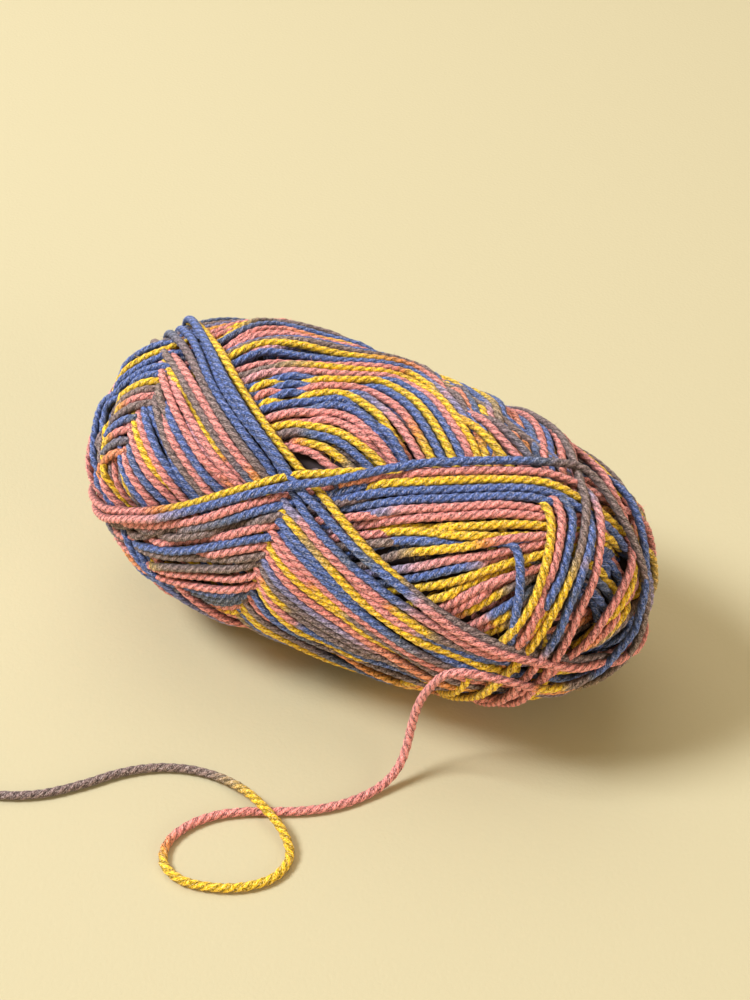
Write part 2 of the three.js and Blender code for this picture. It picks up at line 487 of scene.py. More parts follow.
# The passes of the winder that fill the skein. Each row holds number, turn, lean and shift of a flat
# loop, the newest first, and the loops between are blended.
PASSES = {
    "belt": [
        (0, 150, 28, 10),
        (10, 137, 24, 9),
        (20, 112, 24, 6),
        (36, 66, 22, 3),
        (58, 16, 14, 0),
    ],
    "diagonal": [
        (0, -47, 26, -4),
        (10, -58, 24, -6),
        (22, -80, 25, -10),
        (38, -112, 20, -6),
        (58, -150, 13, 0),
    ],
    "shoulder": [
        (0, 56, 33, 17),
        (12, 42, 31, 11),
        (28, 20, 24, 0),
        (42, -10, 20, 0),
        (58, -60, 13, 0),
    ],
    "tips": [
        (0, 10, 9, 0),
        (14, 130, 6, 2),
        (28, 250, 3, -2),
    ],
    "far side": [
        (0, -125, 28, 4),
        (14, -140, 26, 2),
        (30, -165, 25, 0),
        (44, -190, 20, 0),
        (58, -230, 13, 0),
    ],
}
# By when the passes have been laid, and how much sooner the turns round the tips are.
PASSES_LAID, TIPS_SOONER = 0.5, 0.4

# Bands of turns on the seen side, as key lines through pixels read off the photograph. Between two key
# lines there are as many yarns as fit. laid is when the first and the last line were laid, and onward
# how far each end runs on round the skein. The words before a line are the colours of its own yarn and
# then of those up to the next key line; with > between them they follow along the yarn.
# Where places is set, the points are rows of (x in millimetres, turn in degrees) instead of pixels, and
# where each is set, only the key lines themselves are laid.
BANDS = {
    "top": {
        "lines": [
            ("pink", (262, 436), (290, 441), (308, 448), (324, 460), (345, 474)),
            ("taupe>blue>blue", (258, 429), (285, 425), (308, 430), (335, 437), (358, 453),
             (380, 474)),
            ("yellow>yellow>orange pink", (252, 420), (280, 415), (303, 418), (330, 424),
             (352, 436), (375, 452), (394, 472)),
            ("taupe>slate>blue>blue blue", (240, 406), (267, 401), (290, 399), (312, 400),
             (335, 398), (356, 405), (374, 423), (391, 441), (408, 468)),
            ("yellow>yellow>yellow>pink blue>blue>lavender>pink orange>pink>yellow", (232, 400),
             (255, 390), (276, 389), (299, 387), (326, 384), (349, 389), (367, 401), (386, 418),
             (404, 439), (423, 466)),
            ("blue lavender>pink", (220, 377), (250, 369), (280, 368), (312, 368), (347, 369),
             (384, 371), (404, 377), (423, 389), (440, 405), (454, 422), (467, 442), (479, 466)),
            ("taupe>tan>yellow>yellow>yellow pink>pink>taupe>pink blue>blue>lavender>blue",
             (214, 367), (244, 360), (267, 358), (301, 358), (335, 360), (370, 362), (408, 368),
             (430, 381), (452, 401), (469, 420), (484, 439), (493, 466)),
            ("yellow>yellow>orange>pink>yellow", (206, 350), (234, 339), (260, 335), (285, 338),
             (317, 343), (360, 351), (390, 357), (420, 366), (446, 380), (467, 399), (484, 422),
             (497, 447), (502, 467)),
            ("blue>blue>slate>blue pink>pink>orange>taupe", (198, 341), (230, 330), (255, 326),
             (290, 329), (324, 336), (358, 345), (400, 355), (432, 368), (458, 386), (478, 408),
             (492, 433), (503, 455), (508, 468)),
            ("yellow>taupe>taupe>slate>blue", (188, 330), (225, 318), (262, 312), (290, 313),
             (330, 323), (374, 338), (418, 358), (450, 374), (474, 392), (491, 416), (501, 440),
             (511, 467)),
        ],
        "laid": (0.52, 0.74),
        "onward": (30, 25),
    },
    "top right": {
        "lines": [
            ("yellow>yellow>yellow>yellow>orange slate>slate>pink pink>taupe", (-60, 98),
             (-52, 120), (-36, 136), (-16, 141), (4, 140), (18, 131), (30, 112), (37, 101),
             (44, 87)),
            ("taupe>pink>taupe>lavender pink>pink>orange taupe", (-62, 104), (-50, 130), (-35, 146),
             (-14, 152), (8, 150), (25, 134), (33, 120), (40, 107), (48, 92)),
            ("orange>pink>orange blue>slate pink", (-64, 112), (-52, 138), (-36, 155), (-12, 161),
             (12, 157), (30, 137), (38, 123), (45, 110), (51, 97)),
            ("blue>slate>blue taupe>yellow pink", (-66, 120), (-54, 148), (-38, 166), (-12, 172),
             (16, 168), (36, 138), (45, 125), (51, 114), (55, 104)),
            ("lavender>pink>lavender", (-68, 128), (-56, 158), (-40, 178), (-12, 186), (18, 181),
             (42, 139), (51, 126), (57, 116), (61, 107)),
        ],
        "places": True,
        "laid": (0.73, 0.86),
        "onward": (25, 20),
    },
    "left end": {
        "lines": [
            ("orange slate", (108, 450), (101, 453), (93, 462), (91, 474), (96, 495)),
            ("slate>pink pink", (122, 414), (112, 418), (99, 428), (91, 446), (91, 464), (97, 490)),
            ("taupe>slate pink>taupe", (130, 400), (115, 407), (103, 416), (94, 432), (90, 451),
             (94, 480)),
            ("yellow blue", (147, 375), (126, 382), (110, 393), (101, 409), (96, 430), (94, 460),
             (100, 495)),
            ("blue blue yellow", (158, 360), (132, 368), (112, 385), (98, 405), (91, 432),
             (90, 462), (96, 495)),
            ("blue", (185, 322), (160, 338), (124, 361), (107, 384), (95, 412), (90, 440),
             (89, 474), (94, 497)),
        ],
        "laid": (0.6, 0.9),
        "onward": (13, 60),
    },
    "right of the crossing": {
        "lines": [
            ("yellow>taupe", (500, 645), (516, 634), (532, 622)),
            ("pink>slate", (484, 635), (503, 622), (530, 606)),
            ("orange>taupe", (467, 627), (488, 614), (515, 598), (532, 590)),
            ("pink", (450, 616), (474, 603), (496, 592), (532, 580)),
            ("yellow", (437, 609), (457, 602), (481, 592), (505, 582), (532, 573)),
            ("yellow", (420, 597), (442, 593), (467, 587), (496, 577), (532, 566)),
            ("slate>pink", (406, 588), (433, 582), (467, 574), (496, 569), (532, 560)),
            ("lavender>pink taupe", (396, 577), (428, 572), (462, 565), (496, 561), (532, 553)),
            ("taupe>pink", (380, 566), (408, 558), (445, 555), (476, 552), (508, 547), (536, 543)),
            ("blue", (368, 552), (399, 545), (433, 546), (469, 548), (505, 548), (545, 547)),
            ("tan>yellow>yellow>yellow", (352, 542), (375, 535), (423, 535), (469, 540), (505, 541),
             (562, 539)),
            ("tan>yellow>yellow", (346, 536), (372, 530), (400, 529), (445, 530), (471, 530),
             (505, 529), (562, 530)),
            ("lavender>pink>pink", (340, 530), (365, 526), (400, 522), (440, 520), (500, 518),
             (560, 521)),
            ("blue>pink>pink", (332, 522), (365, 517), (400, 513), (440, 511), (500, 509),
             (560, 512)),
            ("slate>blue", (318, 511), (345, 508), (390, 504), (440, 501), (495, 500), (552, 503),
             (582, 513)),
            ("blue", (309, 500), (345, 498), (390, 494), (440, 492), (495, 491), (545, 494),
             (573, 501), (592, 512)),
            ("yellow", (338, 492), (372, 487), (400, 485), (440, 484), (486, 482), (530, 484),
             (562, 490), (582, 498)),
            ("orange>pink>pink", (356, 482), (394, 478), (440, 475), (486, 474), (530, 476),
             (556, 479), (586, 487)),
        ],
        "laid": (0.5, 0.93),
        "onward": (30, 50),
    },
    "left of the crossing": {
        "lines": [
            ("slate pink", (200, 613), (232, 624), (267, 632), (300, 638)),
            ("pink slate", (165, 590), (184, 600), (209, 608), (244, 612), (280, 615)),
            ("slate", (150, 582), (168, 590), (198, 598), (230, 601), (267, 600), (300, 598)),
            ("orange>pink>pink", (142, 572), (170, 582), (198, 588), (230, 591), (260, 589),
             (294, 585)),
            ("pink>pink>lavender", (130, 560), (159, 572), (189, 578), (221, 581), (250, 579),
             (290, 573)),
            ("yellow>taupe>taupe", (115, 548), (131, 562), (152, 565), (189, 569), (221, 570),
             (275, 564)),
            ("slate>taupe>taupe", (108, 538), (128, 550), (152, 556), (186, 560), (221, 561),
             (267, 557), (316, 553)),
            ("pink>pink", (104, 534), (126, 547), (155, 553), (184, 556), (221, 552), (255, 548),
             (300, 544)),
            ("blue", (102, 531), (127, 545), (158, 550), (184, 549), (215, 544), (244, 540),
             (280, 537), (306, 531)),
            ("pink", (99, 526), (127, 540), (163, 544), (198, 540), (232, 532), (267, 526),
             (302, 523)),
            ("taupe", (95, 519), (118, 534), (150, 537), (175, 536), (221, 528), (255, 520),
             (292, 512)),
            ("taupe>slate>blue", (92, 513), (122, 529), (163, 530), (209, 522), (244, 512),
             (267, 507), (294, 501)),
            ("pink", (90, 507), (117, 522), (152, 523), (189, 518), (221, 509), (255, 500),
             (292, 492)),
        ],
        "laid": (0.52, 0.93),
        "onward": (110, 30),
    },
    "below the left end": {
        "lines": [
            ("pink pink>taupe", (88, 505), (94, 526), (108, 551), (128, 568), (152, 583),
             (180, 597)),
            ("taupe>orange", (90, 500), (99, 524), (114, 545), (136, 562), (160, 573)),
        ],
        "laid": (0.535, 0.55),
        "onward": (60, 14),
    },
    "across": {
        "lines": [
            ("blue>blue>pink>orange taupe>taupe>pink pink>pink>taupe>slate", (107, 432), (109, 460),
             (127, 506), (150, 550), (185, 595), (230, 628)),
            ("pink>pink>taupe>yellow>yellow yellow>yellow>tan>taupe>slate", (114, 412), (127, 460),
             (150, 501), (180, 550), (215, 595), (262, 632), (320, 660)),
            ("blue>blue>blue>blue>slate>taupe blue>blue>blue>pink>yellow>yellow", (127, 389),
             (138, 437), (159, 485), (190, 535), (230, 585), (270, 625), (313, 650), (370, 672)),
            ("taupe>taupe>taupe>tan>yellow>yellow>yellow orange>orange>pink>pink>slate>blue "
             "pink>pink>pink>taupe>taupe",
             (140, 386), (150, 439), (179, 490), (215, 545), (245, 590), (276, 622), (317, 648),
             (370, 670), (420, 684)),
            ("pink>pink>pink>orange>yellow>yellow>yellow>yellow lavender>lavender>pink>taupe>taupe pink",
             (147, 359), (161, 405), (186, 453), (218, 487), (245, 530), (269, 561), (308, 600),
             (363, 639), (423, 675)),
            ("yellow>yellow>orange>lavender>blue>blue>slate>taupe taupe>taupe>slate>blue>blue>blue",
             (155, 361), (175, 402), (202, 446), (230, 483), (268, 530), (301, 563), (340, 600),
             (393, 639), (455, 673)),
            ("pink>pink>pink>orange>tan>yellow>yellow>yellow slate>taupe>taupe>pink>pink>slate blue",
             (159, 347), (184, 386), (211, 432), (241, 471), (275, 512), (301, 540), (333, 574),
             (377, 616), (430, 650), (490, 674)),
            ("blue>blue>blue>blue>lavender>pink>pink>taupe>lavender blue>blue>blue>blue>slate",
             (176, 327), (195, 370), (225, 419), (257, 462), (278, 503), (300, 525), (319, 547),
             (345, 573), (372, 595), (410, 624), (462, 654), (517, 671)),
            ("blue>blue>blue>blue>blue>slate>lavender>pink>pink", (187, 330), (203, 366),
             (229, 409), (263, 451), (286, 492), (309, 524), (333, 550), (356, 573), (382, 592),
             (430, 627), (470, 649), (528, 670)),
        ],
        "laid": (0.5, 0.95),
        "onward": (90, 70),
    },
    "right end": {
        "lines": [
            ("yellow", (548, 497), (556, 507), (562, 524), (561, 553), (554, 582), (544, 607),
             (530, 628), (508, 656)),
            ("pink>pink>orange", (560, 495), (568, 506), (573, 527), (569, 558), (562, 582),
             (552, 607), (543, 628), (528, 655)),
            ("slate>blue>slate", (570, 497), (578, 509), (584, 524), (580, 553), (572, 582),
             (561, 604), (551, 626), (535, 655)),
        ],
        "laid": (0.85, 0.88),
        "onward": (40, 60),
        "each": True,
    },
    "right rim": {
        "lines": [
            ("taupe>yellow>blue", (628, 480), (640, 510), (652, 540), (656, 568), (649, 595),
             (633, 622), (610, 652), (585, 676)),
            ("pink>lavender>yellow", (620, 474), (634, 500), (646, 535), (648, 565), (640, 595),
             (620, 625), (596, 655), (570, 682)),
            ("pink", (612, 478), (624, 500), (636, 524), (641, 546), (636, 573), (624, 599),
             (610, 624), (596, 645), (576, 668), (556, 684)),
        ],
        "laid": (0.8, 0.95),
        "onward": (90, 60),
    },
    "right end over": {
        "lines": [
            ("taupe>taupe>yellow>yellow", (589, 482), (594, 498), (596, 524), (590, 558),
             (578, 590), (566, 614), (551, 638), (537, 660), (520, 677)),
            ("taupe>lavender>slate>pink", (580, 474), (592, 488), (600, 510), (600, 545),
             (592, 575), (582, 605), (568, 638), (547, 670)),
            ("lavender>pink>pink", (585, 478), (600, 500), (608, 529), (607, 558), (602, 585),
             (593, 610), (580, 638), (563, 668)),
        ],
        "laid": (0.962, 0.968),
        "onward": (80, 60),
        "each": True,
    },
    "behind the right end": {
        "lines": [
            ("yellow", (585, 492), (603, 508), (620, 524), (634, 540), (645, 562)),
            ("pink slate", (582, 502), (600, 519), (616, 535), (630, 552), (640, 575)),
            ("blue blue", (580, 518), (598, 534), (614, 549), (628, 566), (636, 588)),
            ("yellow slate", (578, 545), (596, 560), (611, 571), (624, 584), (634, 603)),
            ("slate>pink", (572, 582), (590, 594), (604, 604), (616, 618), (624, 636)),
        ],
        "laid": (0.66, 0.6),
        "onward": (30, 60),
    },
}
LONE_LIFT = 1.6
# Single yarns, with the time that each was laid, how far its ends run on, its colours and its line.
LONE_YARNS = [
    (0.72, (15, 40), "blue", ((455, 549), (480, 548), (505, 547), (521, 548), (531, 556),
     (534, 572), (534, 592), (532, 610), (529, 628))),
    (0.961, (90, 60), "yellow>yellow>yellow>yellow>yellow>taupe>taupe", ((198, 329), (221, 368),
     (255, 421), (296, 471), (335, 515), (379, 565), (418, 599), (464, 631), (532, 660))),
    (0.97, (110, 4), "pink>pink>orange>yellow>yellow>yellow>yellow", ((86, 503), (117, 511),
     (159, 506), (198, 494), (232, 485), (262, 478), (290, 473), (335, 472), (381, 471),
     (398, 471))),
    (0.975, (90, 70), "blue>blue>blue>blue>blue>slate>lavender>pink>pink", ((192, 333), (208, 367),
     (236, 412), (268, 454), (292, 488), (318, 513), (342, 539), (366, 562), (390, 581), (437, 615),
     (473, 641), (526, 662))),
    (0.98, (110, 70), "pink>pink>lavender>blue>blue>blue>blue>slate>taupe>taupe", ((86, 510),
     (106, 516), (140, 516), (186, 506), (239, 493), (290, 485), (324, 483), (358, 478), (389, 472),
     (421, 467), (467, 465), (510, 465), (554, 467), (578, 470), (598, 476), (617, 495), (632, 519),
     (642, 541))),
    (0.985, (0, 40), "pink>pink>taupe>blue>blue", ((489, 678), (508, 681), (534, 687), (554, 690),
     (576, 688), (598, 679), (620, 660), (637, 632), (644, 610))),
]


def keyed_turn(keys, number):
    """Turn, lean and shift of a pass's loop, blended from the rows on either side of its number."""
    table = np.array(keys, float)
    return [np.interp(number, table[:, 0], table[:, i]) for i in (1, 2, 3)]


FILLERS = ["pink>taupe", "slate>blue", "yellow", "pink", "taupe", "blue>lavender", "pink>orange"]


def aside(line, other):
    """How far each point of a line lies sideways of the same point of another."""
    scale = np.stack([np.ones(len(line)), np.interp(line[:, 0], ALONG, WIDENESS) * GIRTH], -1)
    slope = np.gradient(line, axis=0) * scale
    slope /= np.linalg.norm(slope, axis=1, keepdims=True)
    gap = (other - line) * scale
    return np.abs(gap[:, 0] * slope[:, 1] - gap[:, 1] * slope[:, 0])


def thin_out(lines):
    """Where each line of a band goes under: where it is too near to the last line that doesn't."""
    top, under = lines[0].copy(), [np.zeros(len(lines[0]))]
    for line in lines[1:]:
        near = aside(line, top) < SPACING * 0.7
        top[~near] = line[~near]
        under.append(running_mean(near.astype(float), 2, False))
    return under


def band_lines(work):
    """The lines and colours of a band's yarns, and where each goes under.

    They are its key lines, and blends of them in between.
    """
    find = at if work.get("places") else seen
    keys = [(words.split(), curve_through(find(*points))) for words, *points in work["lines"]]
    made = []
    for (words, old), (_, new) in zip(keys[:-1], keys[1:], strict=True):
        new[:, 1] += 2 * np.pi * np.round((old[24, 1] - new[24, 1]) / (2 * np.pi))
        wide = np.percentile(aside(old, new)[5:43], 80)
        count = 1 if work.get("each") else max(int(round(wide / SPACING)), 1)
        words += FILLERS[len(made) % len(FILLERS) :] + FILLERS
        made += [(old + (new - old) * i / count, words[i]) for i in range(count)]
    made.append((keys[-1][1], keys[-1][0][0]))
    under = thin_out([line for line, _ in made])
    return [(*pair, low) for pair, low in zip(made, under, strict=True)]


def with_ends(line, before, after, colour, rng, under=0):
    """A line run on at both ends, its dye, as shares of its length and the phases there, and under.

    The colour names, with > between them, are spread evenly over the line itself. Beyond its ends the
    dye goes on at its own rate.
    """
    longer = run_on(line, after) if after else line
    tail = len(longer) - len(line)
    path = run_on(longer[::-1], before)[::-1] if before else longer
    points, _ = on_core(path[:, 0], path[:, 1])
    run = run_along(points)
    start, end = run[len(path) - len(longer)], run[len(path) - 1 - tail]
    phases = [DYES[name] for name in colour.split(">")]
    if len(phases) == 1:
        drift = 0.35 * (end - start) / DYE_REPEAT
        phases = [phases[0] - drift, phases[0] + drift]
    phases = np.unwrap(phases, period=1)
    way = np.sign(phases[-1] - phases[0]) or 1
    spread = np.linspace(start, end, len(phases))
    spread[1:-1] += rng.normal(0, 0.2 * (spread[1] - spread[0]), len(phases) - 2)
    marks = np.concatenate([[0], np.sort(spread), [run[-1]]])
    first = phases[0] - way * start / DYE_REPEAT
    last = phases[-1] + way * (run[-1] - end) / DYE_REPEAT
    phases = np.concatenate([[first], phases, [last]]) + rng.normal(0, 0.012)
    if np.ndim(under):
        at_line = run[len(path) - len(longer) : len(path) - tail]
        under = np.interp(np.linspace(0, run[-1], 200), at_line, under)
    return path, marks / run[-1], phases, np.broadcast_to(under, 200)


def wind():
    """Lays every pass, band and single yarn in order of age, and returns the yarns as dicts."""
    rng = np.random.default_rng(SEED)
    jobs = []
    for name, rows in PASSES.items():
        count = rows[-1][0] + 1
        for number in range(count):
            turn, lean, shift = keyed_turn(rows, number)
            path = flat_loop(turn + rng.normal(0, 0.5), lean, shift + rng.normal(0, 0.35))
            phase = rng.uniform()
            dye = ([0, 1], [phase, phase + rng.choice([-1, 1])], [0, 0])
            when = PASSES_LAID * (1 - number / count) * (TIPS_SOONER if name == "tips" else 1)
            jobs.append((when, path, True, *dye))
    for work in BANDS.values():
        lines = band_lines(work)
        first, last = work["laid"]
        for number, (line, colour, under) in enumerate(lines):
            made = with_ends(line, *work["onward"], colour, rng, under)
            when = first + (last - first) * number / max(len(lines) - 1, 1)
            jobs.append((when, made[0], False, *made[1:]))
    for when, onward, colour, pixels in LONE_YARNS:
        line = curve_through(seen(*pixels, lift=LONE_LIFT))
        made = with_ends(line, *onward, colour, rng)
        jobs.append((when, made[0], False, *made[1:]))
    jobs.sort(key=lambda job: job[0])
    yarns = []
    for number, (_, path, closed, shares, phases, under) in enumerate(jobs):
        depth = WOUND_DEPTH * number / len(jobs)
        if number % 4 == 0:
            raise_level(depth)
        proud = PROUD * (1.6 if number > len(jobs) - 5 else 1)
        even, height = lay(path, closed, depth, proud, under, number == len(jobs) - 1)
        yarns.append(
            {"path": even, "height": height, "closed": closed, "shares": shares, "phases": phases}
        )
    raise_level(WOUND_DEPTH)
    return yarns


def showing(yarn, spare=6):
    """Stretches of a yarn that show: where its top, or its shoulder on either side, isn't buried.

    A stretch is widened by a few steps so that its ends lie under its neighbours.
    """
    path, height = yarn["path"], yarn["height"]
    rows, columns, distance, _ = footprint(path)
    reach = RADIUS * SHOULDER
    top = height[:, None] + np.sqrt(np.clip(RADIUS**2 - distance**2, 0, None))
    clear = (top > height_map[rows, columns] - BURIED) & (distance < reach)
    shown = clear.any(1)
    wide = shown.copy()
    for k in range(1, spare + 1):
        if yarn["closed"]:
            wide |= np.roll(shown, k) | np.roll(shown, -k)
        else:
            wide[k:] |= shown[:-k]
            wide[:-k] |= shown[k:]
    n = len(wide)
    if wide.all():
        return [(np.arange(n + 1) % n if yarn["closed"] else np.arange(n))]
    if not wide.any():
        return []
    start = int(np.argmin(wide)) if yarn["closed"] else 0
    order = (np.arange(n) + start) % n
    flags = np.concatenate([[False], wide[order], [False]])
    edges = np.flatnonzero(np.diff(flags.astype(int)))
    return [order[a:b] for a, b in zip(edges[::2], edges[1::2], strict=True) if b - a > 5]


def pick(yarn, steps):
    """Middle points of a stretch of yarn, and the outward directions there, in the floor's frame."""
    path, height = yarn["path"][steps], yarn["height"][steps]
    points, normals = on_core(path[:, 0], path[:, 1])
    raised = height - level_at(path)
    return settle(points + normals * raised[:, None]), normals


def resample(points, normals, step):
    """Points and directions at even steps along a line."""
    run = run_along(points)
    marks = np.linspace(0, run[-1], max(int(run[-1] / step), 3) + 1)
    both = np.concatenate([points, normals], axis=1)
    both = np.stack([np.interp(marks, run, column) for column in both.T], -1)
    return both[:, :3], both[:, 3:], marks


def sleeve(points, normals, start, radius=RADIUS):
    """Corners of a three-ply yarn round a line: rings that turn with the twist, and for each corner a
    share of painted light, 1 where it faces outward and falling to 0 on its underside, which paints
    shade under and between the yarns.

    Each corner's distance from the line is the radius less the groove between the plies.
    """
    tangent = np.gradient(points, axis=0)
    tangent /= np.linalg.norm(tangent, axis=1, keepdims=True)
    side = np.cross(tangent, normals)
    side /= np.linalg.norm(side, axis=1, keepdims=True)
    out = np.cross(side, tangent)
    run = run_along(points)
    corner = np.arange(RING) / RING * 2 * np.pi
    turned = corner + (2 * np.pi * (run + start) / TWIST)[:, None]
    reach = radius * (1 - PLY_RELIEF * (0.5 - 0.5 * np.cos(PLIES * corner)))
    across = np.cos(turned) * reach * 1.04
    upward = np.sin(turned) * reach * 0.94
    corners = points[:, None] + across[..., None] * side[:, None] + upward[..., None] * out[:, None]
    # The second value is painted light: the material darkens the yarn's underside with it, as painted
    # shade.
    return corners, smooth(-0.3, 0.85, np.sin(turned))


def set_values(mesh, label, values):
    """A named value for each corner of a mesh, which its material reads."""
    attribute = mesh.attributes.new(label, "FLOAT", "POINT")
    attribute.data.foreach_set("value", values.astype(np.float32))


def make_piece(name, mesh, material, node):
    """The object of a mesh, riding on the part and shown for one of its nodes."""
    mesh.materials.append(material)
    piece = bpy.data.objects.new(name, mesh)
    bpy.context.collection.objects.link(piece)
    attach(piece, "root")
    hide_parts(node)
    return piece


def strand_piece(name, strands, material, node):
    """One piece of many sleeves.

    strands holds (corners, run along the yarn, dye, painted light share) per stretch. The faces join
    each ring to the next, and a flat cap closes each end. The first UV map measures the yarn in
    centimetres along and round, and the second lays the stretches in rows for baking.
    """
    corners = np.concatenate([strand[0].reshape(-1, 3) for strand in strands])
    sizes = np.array([len(strand[0]) for strand in strands])
    starts = np.concatenate([[0], np.cumsum(sizes)[:-1]])
    rings = np.concatenate(
        [start + np.arange(size - 1) for start, size in zip(starts, sizes, strict=True)]
    )
    here, after = np.arange(RING), (np.arange(RING) + 1) % RING
    quads = np.stack(
        [
            rings[:, None] * RING + here,
            (rings[:, None] + 1) * RING + here,
            (rings[:, None] + 1) * RING + after,
            rings[:, None] * RING + after,
        ],
        -1,
    ).reshape(-1, 4)[:, ::-1]
    fronts = starts[:, None] * RING + here
    backs = (starts + sizes - 1)[:, None] * RING + here[::-1]
    loops = np.concatenate([quads.ravel(), fronts.ravel(), backs.ravel()])
    totals = np.concatenate([np.full(len(quads), 4), np.full(2 * len(starts), RING)])
    mesh = bpy.data.meshes.new(name)
    mesh.vertices.add(len(corners))
    mesh.vertices.foreach_set("co", (corners * MM).ravel().astype(np.float32))
    mesh.loops.add(len(loops))
    mesh.loops.foreach_set("vertex_index", loops.astype(np.int32))
    mesh.polygons.add(len(totals))
    mesh.polygons.foreach_set(
        "loop_start", np.concatenate([[0], np.cumsum(totals)[:-1]]).astype(np.int32)
    )
    mesh.polygons.foreach_set("use_smooth", np.ones(len(totals), bool))

    run = np.concatenate([strand[1] for strand in strands])
    dye = np.concatenate([strand[2] for strand in strands])
    edge = here / RING
    quad_run = np.stack([run[rings], run[rings + 1], run[rings + 1], run[rings]], -1) / 10
    quad_run = np.repeat(quad_run, RING, axis=0)[:, ::-1]
    quad_edge = np.stack([edge, edge, edge + 1 / RING, edge + 1 / RING], -1)
    quad_edge = np.tile(quad_edge, (len(rings), 1))[:, ::-1]
    caps = np.concatenate([fronts.ravel(), backs.ravel()])
    cap_run, cap_edge = run[caps // RING] / 10, (caps % RING) / RING
    measured = np.stack(
        [np.append(quad_run, cap_run), np.append(quad_edge, cap_edge) * AROUND], -1
    )
    mesh.uv_layers.new(name="yarn").data.foreach_set("uv", measured.ravel().astype(np.float32))

    rows = max(int(np.sqrt(len(rings) * STEP / (10 * AROUND))), 1)
    per_row = int(np.ceil(len(rings) / rows)) + 1
    number = np.arange(len(rings))
    row, column = np.repeat(number // per_row, RING), np.repeat(number % per_row, RING)
    lay_u = (column[:, None] + np.array([0, 1, 1, 0])[::-1]) / per_row
    lay_v = (row[:, None] + 0.08 + 0.84 * quad_edge) / (rows + 1)
    flat_caps = np.full((len(caps), 2), 0.5 / per_row)
    atlas = np.concatenate([np.stack([lay_u.ravel(), lay_v.ravel()], -1), flat_caps])
    mesh.uv_layers.new(name="OFBake").data.foreach_set("uv", atlas.ravel().astype(np.float32))

    set_values(mesh, "dye", np.repeat(dye, RING))
    # The light attribute carries the painted light share, which paints shade on each yarn's underside.
    set_values(mesh, "light", np.concatenate([strand[3].ravel() for strand in strands]))
    mesh.update(calc_edges=True)
    mesh.validate()
    return make_piece(name, mesh, material, node)


class Wire:
    """A shader socket that can be added, multiplied and so on: each operation is a Math node."""

    def __init__(self, nodes, socket):
        self.nodes, self.socket = nodes, socket

    def math(self, operation, *others, clamp=False):
        settings = {"operation": operation, "use_clamp": clamp}
        return self.nodes.make("ShaderNodeMath", settings, slots=dict(enumerate((self, *others))))

    def __add__(self, other):
        return self.math("ADD", other)

    def __mul__(self, other):
        return self.math("MULTIPLY", other)

    def __sub__(self, other):
        return self.math("SUBTRACT", other)

    def __rsub__(self, other):
        return self * -1 + other

    __radd__, __rmul__ = __add__, __mul__


class Nodes:
    """Makes the nodes of one material and links them."""

    def __init__(self, name):
        self.material = bpy.data.materials.new(name)
        self.material.use_nodes = True
        self.tree = self.material.node_tree
        self.tree.nodes.clear()

    def make(self, kind, settings=None, out=0, slots=None, **inputs):
        """A node of a kind, and the wire from one of its outputs.

        The settings come first, a ramp's stops among them, and then its inputs, by number or by name.
        """
        node = self.tree.nodes.new(kind)
        for key, value in (settings or {}).items():
            if key == "stops":
                stops = node.color_ramp.elements
                while len(stops) < len(value):
                    stops.new(0.5)
                for stop, (where, colour) in zip(stops, value, strict=True):
                    stop.position, stop.color = where, linear(*colour)
            else:
                setattr(node, key, value)
        named = {key.replace("_", " "): value for key, value in inputs.items()}
        for key, value in {**(slots or {}), **named}.items():
            if isinstance(value, Wire):
                self.tree.links.new(value.socket, node.inputs[key])
            else:
                node.inputs[key].default_value = value
        return Wire(self, node.outputs[out]) if node.outputs else node

    def mix(self, share, first, second):
        """Two colours mixed by a share."""
        slots = {0: share, 6: first, 7: second}
        return self.make("ShaderNodeMix", {"data_type": "RGBA"}, out=2, slots=slots)

    def finish(self, **inputs):
        """The surface shader and the material's output."""
        shader = self.make("ShaderNodeBsdfPrincipled", **inputs)
        self.make("ShaderNodeOutputMaterial", Surface=shader)
        return self.material


def linear(red, green, blue, alpha=1.0):
    """A colour given in screen values of 0 to 255, as light."""
    value = np.array([red, green, blue]) / 255
    return (*np.where(value < 0.04045, value / 12.92, ((value + 0.055) / 1.055) ** 2.4), alpha)


# The dye's colours round its repeat, with flat stretches between soft changes.
DYE_COLOURS = [
    (0.00, (226, 160, 166)),
    (0.03, (238, 152, 148)),
    (0.19, (238, 145, 137)),
    (0.235, (240, 150, 82)),
    (0.285, (255, 205, 50)),
    (0.45, (255, 204, 40)),
    (0.49, (190, 158, 104)),
    (0.53, (142, 118, 112)),
    (0.68, (136, 114, 118)),
    (0.725, (100, 112, 142)),
    (0.77, (90, 114, 180)),
    (0.94, (90, 112, 176)),
    (0.985, (166, 148, 178)),
    (1.00, (226, 160, 166)),
]


